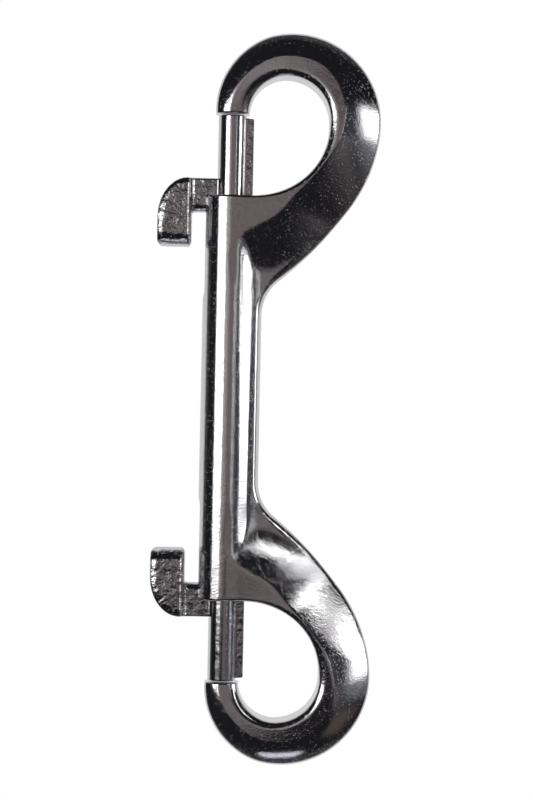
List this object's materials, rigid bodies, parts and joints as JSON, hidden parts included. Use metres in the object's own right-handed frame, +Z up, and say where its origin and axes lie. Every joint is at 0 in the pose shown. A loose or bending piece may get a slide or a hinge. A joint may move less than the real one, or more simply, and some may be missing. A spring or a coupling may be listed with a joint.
{
  "type": "double ended bolt snap",
  "caption": "Double ended bolt snap: a plated barrel with a fixed hook and a spring loaded sliding bolt with a thumb knob at each end.",
  "frame": {"origin": "centre of the underside of the snap's box, as it lies flat", "axes": "+Y along the snap, +X towards the hooks, +Z up through its thickness"},
  "size_m": [0.0346, 0.1142, 0.0083],
  "materials": {
    "body_plating": "polished plating over a die casting",
    "bolt_plating": "plating over a rougher casting",
    "spring_wire": "bright spring wire"
  },
  "bodies": {
    "body": {"body": "body_plating", "upper_spring": "spring_wire", "lower_spring": "spring_wire"},
    "upper_bolt": {"upper_bolt": "bolt_plating"},
    "lower_bolt": {"lower_bolt": "bolt_plating"}
  },
  "joints": [
    {"name": "upper_bolt_slide", "type": "slide", "parent": "body", "child": "upper_bolt", "axis": [0, -1, 0], "range_m": [0, 0.0128], "stiffness_N_per_m": 220, "springref_m": -0.012, "deforming": ["upper_spring"]},
    {"name": "lower_bolt_slide", "type": "slide", "parent": "body", "child": "lower_bolt", "axis": [0, 1, 0], "range_m": [0, 0.0128], "stiffness_N_per_m": 220, "springref_m": -0.012, "deforming": ["lower_spring"]}
  ]
}
